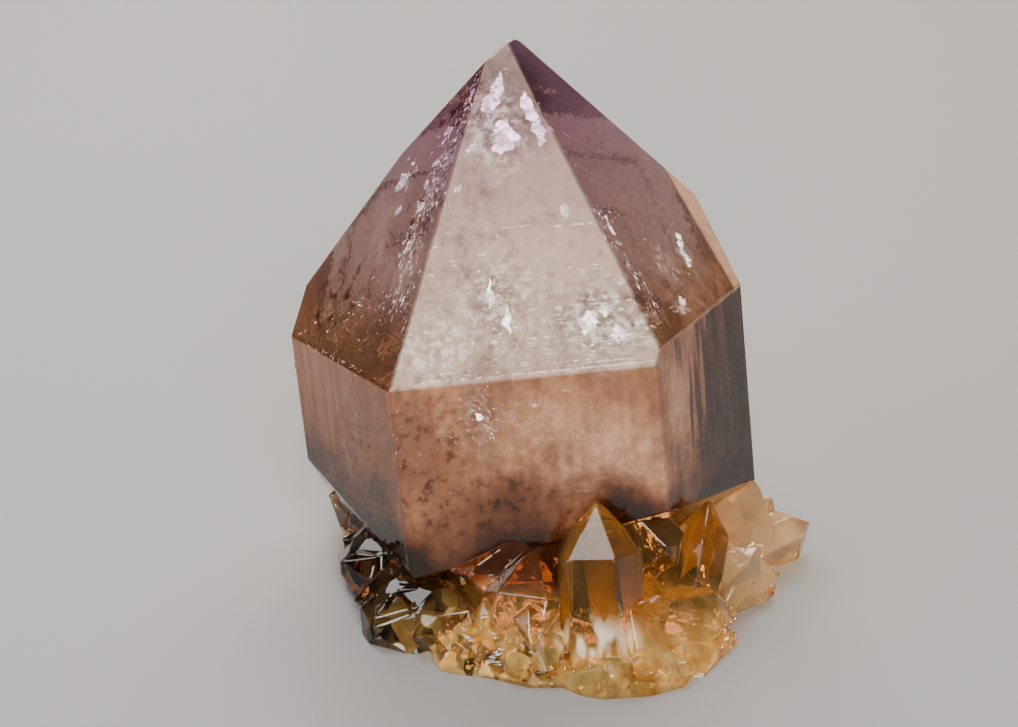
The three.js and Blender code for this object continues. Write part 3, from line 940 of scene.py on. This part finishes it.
def crack_finish():
    """A film of air in a crack: it mirrors like silver, with pale rainbow stripes."""
    shader = Shader("crack film")
    place = shader.place()
    waves = shader.node("TexWave", {"bands_direction": "DIAGONAL"},
                        {"Vector": place, "Scale": 0.35, "Distortion": 1.5, "Detail": 1.0}, 1)
    tint = shader.blend(waves.rise(0.2, 0.8), FILM_ROSY, FILM_BLUE)
    ripples = cloud(shader, place, size=1.2, detail=2)
    bump = shader.node("Bump", {}, {"Height": ripples, "Strength": 1.0, "Distance": 0.1 * MM})
    film = shader.node("BsdfPrincipled", {}, {
        "Base Color": tint, "Metallic": 0.9, "Roughness": 0.05 + ripples * 0.25,
        "Normal": bump,
    })
    shader.node("OutputMaterial", {}, {"Surface": film})
    return shader.material


joined("cracks", cracks, crack_finish())
joined("bright_flakes", bright_flakes, flake_finish("bright film", BRIGHT_FILM, 0.75, 0.14))
joined("dark_flakes", dark_flakes, flake_finish("dark film", DARK_FILM, 0.0, 0.3))

# %% [markdown]
# ## Veils
#
# A healed crack that is too fine to see as flakes looks like a wisp of smoke or frost.
# Each veil is one curved sheet, given a closed skin by a second sheet just behind it and
# kept under the skin of the quartz. A number on its points fades it out towards its rim,
# and fine noise breaks it into wisps.

# %% Curved sheets behind the faces
VEILS = [
    # face, one corner, two edges that run from it, all as (across, along, depth), and bow
    (("tip", 0), (-10, 28, 1.5), (10, -2, 5), (2, 27, 3), 2.0),
    (("tip", 0), (3, 40, 1.0), (13, 2, 6), (1, 13, 3), 1.5),
    (("tip", 0), (-6, 6, 1.0), (10, 2, 2.5), (-3, 20, 1.5), 1.2),
    (("tip", 0), (-2, 22, 9), (14, 3, -5), (-3, 16, 2), 1.5),
    (("tip", 5), (-3, 6, 5), (6.5, 0, -4.6), (6, 40, 0), 0.8),
    (("tip", 1), (-5, 38, 1.0), (12, 1, 2), (-1, 9, 1.5), 1.4),
    (("tip", 1), (-13, 24, 1.0), (6, 0, 5), (-3, 26, 0), 1.0),
    (("side", 0), (-23, 10, 0.6), (6, 0, 4), (1, 27, 0), 1.0),
    (("side", 0), (-11, 24, 0.6), (5, 1, 4), (-1, 15, 0), 0.8),
    (("side", 0), (-4, 14, 6), (16, 2, -4), (-1, 20, 0), 2.5),
    (("side", 1), (-16, 16, 1.0), (9, 0, 4), (0, 22, 0), 1.5),
    (("side", 5), (-6, 14, 1.0), (16, 0, 4), (0, 22, 0), 2.0),
    (("side", 3), (-10, 14, 1.0), (16, 0, 4), (0, 24, 0), 2.0),
    (("tip", 3), (-8, 24, 1.0), (14, 2, 5), (0, 20, 2), 2.0),
]
VEIL_STEPS = 18
VEIL_THICKNESS = 0.02
VEIL_ROOM = 0.5     # how far a sheet stays under the skin


def veil(face, corner, first, second, bow):
    """Points, faces and fades of one closed curved sheet, in mm."""
    points, fades = [], []
    for depth_shift in (0, VEIL_THICKNESS):
        for row in range(VEIL_STEPS + 1):
            for column in range(VEIL_STEPS + 1):
                u, v = column / VEIL_STEPS, row / VEIL_STEPS
                place = [c + a * u + b * v for c, a, b in zip(corner, first, second)]
                place[2] += bow * math.sin(math.pi * u) * math.sin(math.pi * v)
                place[2] += 0.3 * math.sin(9 * u + 5 * v) + depth_shift
                point = under_face(*face, *place)
                fade = max(0.0, 1 - math.hypot(2 * u - 1, 2 * v - 1))
                if not is_inside(point, VEIL_ROOM):
                    nearest, normal, _, _ = surface.find_nearest(point)
                    point = nearest - normal * (VEIL_ROOM + depth_shift)
                    fade = 0.0
                fades.append(fade)
                points.append(point)
    width = VEIL_STEPS + 1
    layer = width * width
    faces = []
    for row in range(VEIL_STEPS):
        for column in range(VEIL_STEPS):
            a = row * width + column
            quad = (a, a + 1, a + width + 1, a + width)
            faces.append(quad)
            faces.append(tuple(layer + index for index in reversed(quad)))
    rim = [column for column in range(width)]
    rim += [row * width + VEIL_STEPS for row in range(1, width)]
    rim += [VEIL_STEPS * width + column for column in range(VEIL_STEPS - 1, -1, -1)]
    rim += [row * width for row in range(VEIL_STEPS - 1, 0, -1)]
    for here, after in zip(rim, rim[1:] + rim[:1]):
        faces.append((after, here, layer + here, layer + after))
    return points, faces, fades


FROST_TINT = (0.95, 0.80, 0.74, 1)


def veil_finish():
    shader = Shader("frosty veil")
    place = shader.place()
    fade = shader.node("Attribute", {"attribute_name": "fade"}, output=2)
    wisps = cloud(shader, place, size=1.1, detail=3, roughness=0.7)
    drifts = cloud(shader, place, size=4.5, detail=0)
    frost = wisps.rise(0.46, 0.66) * drifts.rise(0.36, 0.6) * fade.rise(0.0, 0.45)
    film = shader.node("BsdfPrincipled", {}, {
        "Base Color": shader.blend(drifts.rise(0.4, 0.6), FROST_TINT, CLEAR),
        "Roughness": 0.25 + wisps * 0.2,
    })
    frosted = shader.mixed(frost * 0.75, shader.window(CLEAR), film)
    shader.node("OutputMaterial", {}, {"Surface": frosted})
    return shader.material


sheets = [veil(*shape) for shape in VEILS]
veils = joined("veils", [sheet[:2] for sheet in sheets], veil_finish())
fade_layer = veils.data.attributes.new("fade", "FLOAT", "POINT")
fade_layer.data.foreach_set("value", [fade for sheet in sheets for fade in sheet[2]])

# %% [markdown]
# ## Tiny crystals on the crust
#
# Between the finger-thick crystals the crust is covered with much smaller ones, most of
# them under two millimetres. One is a six-sided prism with a six-sided point; hundreds
# are set on the crust, each standing out from it with a lean and a size of its own.

# %% One tiny crystal
POINT_SLOPE = 1.27     # height of a tip over half its width, from quartz's tip angle


def tiny_crystal(chance, base, way, half_width, length):
    """A hexagonal prism with a pointed end, closed underneath, in mm."""
    turned = way.to_track_quat("Z", "Y").to_matrix()
    turned = turned @ Matrix.Rotation(chance.uniform(0, math.tau), 3, "Z")
    shoulder = max(length - half_width * POINT_SLOPE, length * 0.25)
    reach = [half_width * chance.uniform(0.85, 1.1) for _ in range(6)]
    ring = [Vector((math.cos(math.tau * k / 6) * reach[k],
                    math.sin(math.tau * k / 6) * reach[k], 0)) for k in range(6)]
    apex = Vector((chance.uniform(-0.2, 0.2) * half_width,
                   chance.uniform(-0.2, 0.2) * half_width, length))
    upper = [corner + Vector((0, 0, shoulder * chance.uniform(0.9, 1.1))) for corner in ring]
    faces = [(5, 4, 3, 2, 1, 0)]
    for k in range(6):
        after = (k + 1) % 6
        faces.append((k, after, 6 + after, 6 + k))
        faces.append((6 + k, 6 + after, 12))
    corners = ring + upper + [apex]
    return [base + turned @ corner for corner in corners], faces


# %% Where they grow
CRUST_PATCHES = [
    # middle, half sizes of the patch, how many, half widths
    ((-9, -28, 2.5), (8, 5, 3.5), 150, (0.15, 0.75)),
    ((0, -33, 1.5), (7, 3, 2), 60, (0.15, 0.6)),
    ((14, -37, 0.8), (13, 3, 1.5), 70, (0.15, 0.5)),
    ((26, -25, 3), (4, 5, 3), 60, (0.15, 0.6)),
    ((33, -10, 2), (6, 6, 2), 40, (0.15, 0.6)),
    ((-6, -21, 9), (8, 3, 3), 30, (0.15, 0.5)),
    ((30, 26, 3), (10, 10, 4), 90, (0.2, 0.9)),
    ((4, 38, 2.5), (18, 4, 3), 110, (0.2, 0.9)),
    ((-22, 28, 2.5), (10, 8, 3), 90, (0.2, 0.9)),
]
BOX_LOW, BOX_HIGH = (Vector(corner) / MM for corner in cad_box)


def fits_in_box(point, margin=0.15):
    return all(low + margin < value < high - margin
               for low, value, high in zip(BOX_LOW, point, BOX_HIGH))


def patch_of_crystals(chance, patch):
    middle, half, count, half_widths = patch
    solids = []
    for _ in range(count * 3):
        if len(solids) == count:
            break
        offset = [chance.uniform(-1, 1) * reach for reach in half]
        point, normal, index, _ = surface.find_nearest(Vector(middle) + Vector(offset))
        on_foot = skin.data.attributes["foot"].data[index].value > 0.5
        width = half_widths[0] + (half_widths[1] - half_widths[0]) * chance.random() ** 3
        lean = Vector([chance.gauss(0, 0.35) for _ in range(3)]) + Vector((0, 0, 0.25))
        way = (normal + lean).normalized()
        length = width * chance.uniform(1.3, 2.6)
        base = point - way * width * 0.8
        if not on_foot or normal.z < -0.5:
            continue
        if fits_in_box(base, width) and fits_in_box(base + way * length, width):
            solids.append(tiny_crystal(chance, base, way, width, length + width * 0.8))
    return solids


def crust_finish():
    shader = Shader("honey crust crystals")
    place = shader.place()
    clouds = cloud(shader, place, size=4, detail=1)
    olive = near(shader, place, *OLIVE_PART)
    cream = near(shader, place, *CREAM_PART)
    lighter = clouds.rise(0.4, 0.6)

    def tinted(mix, plain):
        return mix(lighter, plain(HONEY_CRUST), plain(PALE_CRUST))

    milky = shader.blend(lighter, HONEY, PALE_HONEY)
    milky = shader.blend(cream, shader.blend(olive, milky, OLIVE), CREAM)
    glass = shader.node("BsdfPrincipled", {}, {
        "Base Color": shader.blend(olive, tinted(shader.blend, tuple), OLIVE_CRUST),
        "Roughness": 0.04 + clouds * 0.06, "IOR": QUARTZ_IOR, "Transmission Weight": 1.0,
    })
    clear_part = shader.mixed(olive, shader.lamp_lit(glass, tinted(shader.mixed, shader.window)),
                              shader.lamp_lit(glass, shader.window(OLIVE_CRUST)))
    haze = shader.node("BsdfPrincipled", {}, {
        "Base Color": milky, "Roughness": 0.12 + clouds * 0.1, "IOR": QUARTZ_IOR,
    })
    milky_clear = shader.mixed(clouds.rise(0.45, 0.8) * 0.4, clear_part, haze)
    shader.node("OutputMaterial", {}, {"Surface": milky_clear})
    return shader.material


tiny_crystals = [item for patch in CRUST_PATCHES for item in patch_of_crystals(chance, patch)]
joined("crust_crystals", tiny_crystals, crust_finish())

# %% [markdown]
# ## Floor, light and camera
#
# Clear stone takes its looks from what stands round it. A soft key light in front makes
# the films inside flash, a tall light high on the left mirrors in the tip of the small
# front crystal, lights from behind glow through the foot, and a pale room keeps the clear
# parts from going black. Light has to be followed through several faces before clear
# stone looks clear, but each more costs time, so it stops after eight.

# %% The floor and the room
FLOOR_SIZE = 3.0
FLOOR_GREY = (0.31, 0.31, 0.315, 1)
ROOM_GREY = (0.66, 0.65, 0.64, 1)
ROOM_LIGHT = 0.14
bpy.ops.object.select_all(action="DESELECT")
bpy.ops.mesh.primitive_plane_add(size=FLOOR_SIZE, location=(0, 0, 0))
floor = bpy.context.object
floor.name = "floor"
paper = Shader("pale floor")
paper_shader = paper.node("BsdfPrincipled", {}, {
    "Base Color": FLOOR_GREY, "Roughness": 0.6,
})
paper.node("OutputMaterial", {}, {"Surface": paper_shader})
floor.data.materials.append(paper.material)

room = bpy.data.worlds.new("room")
room.use_nodes = True
background = room.node_tree.nodes["Background"]
background.inputs["Color"].default_value = ROOM_GREY
background.inputs["Strength"].default_value = ROOM_LIGHT
bpy.context.scene.world = room
print("floor:", floor.name, "room light:", ROOM_LIGHT)


# %% The lights
LIT_POINT = Vector((0, 0, 0.04))


def towards(azimuth, elevation):
    """The way to a place round the object: azimuth 0 is the front, 90 the right."""
    turn, rise = math.radians(azimuth), math.radians(elevation)
    return Vector((math.sin(turn) * math.cos(rise), -math.cos(turn) * math.cos(rise),
                   math.sin(rise)))


def hang(name, azimuth, elevation, distance, width, height, watts, colour):
    light = bpy.data.lights.new(name, "AREA")
    light.shape = "RECTANGLE"
    light.size = width
    light.size_y = height
    light.energy = watts
    light.color = colour
    lamp = bpy.data.objects.new(name, light)
    bpy.context.scene.collection.objects.link(lamp)
    way = towards(azimuth, elevation)
    lamp.location = LIT_POINT + way * distance
    lamp.rotation_euler = (-way).to_track_quat("-Z", "Y").to_euler()


SOFTBOXES = [
    # name, azimuth, elevation, distance, width, height, watts, colour
    ("key", 8, 36, 0.70, 0.34, 0.34, 5.2, (1.0, 0.95, 0.88)),
    ("high_left", -118, 66, 0.50, 0.20, 0.38, 1.5, (1, 1, 1)),
    ("left", -64, 30, 0.70, 0.30, 0.50, 1.2, (1, 1, 1)),
    ("right_back", 162, 38, 0.60, 0.30, 0.30, 2.8, (1.0, 0.92, 0.82)),
    ("left_back", -160, 30, 0.60, 0.30, 0.30, 2.4, (1.0, 0.92, 0.82)),
]
for softbox in SOFTBOXES:
    hang(*softbox)
print("lights:", [softbox[0] for softbox in SOFTBOXES])

# %% The camera
VIEW_ELEVATION = 25
VIEW_DISTANCE = 0.42417
VIEW_MIDDLE = Vector((-6.94, -2.14, 36.0))
LENS = 100
FILM_WIDTH = 36
camera_data = bpy.data.cameras.new("camera")
camera_data.lens = LENS
camera_data.sensor_width = FILM_WIDTH
camera_data.clip_start = 0.01
camera_data.clip_end = 20
camera = bpy.data.objects.new("camera", camera_data)
bpy.context.scene.collection.objects.link(camera)
view_way = towards(0, VIEW_ELEVATION)
camera.location = VIEW_MIDDLE * MM + view_way * VIEW_DISTANCE
camera.rotation_euler = (-view_way).to_track_quat("-Z", "Y").to_euler()
bpy.context.scene.camera = camera
print("camera looks along", [round(v, 2) for v in -view_way])

# %% How far light is followed
paths = bpy.context.scene.cycles
paths.max_bounces = 8
paths.diffuse_bounces = 3
paths.glossy_bounces = 4
paths.transmission_bounces = 8
paths.caustics_reflective = False
paths.adaptive_threshold = 0.03
paths.adaptive_min_samples = 16
print("bounces:", paths.max_bounces)
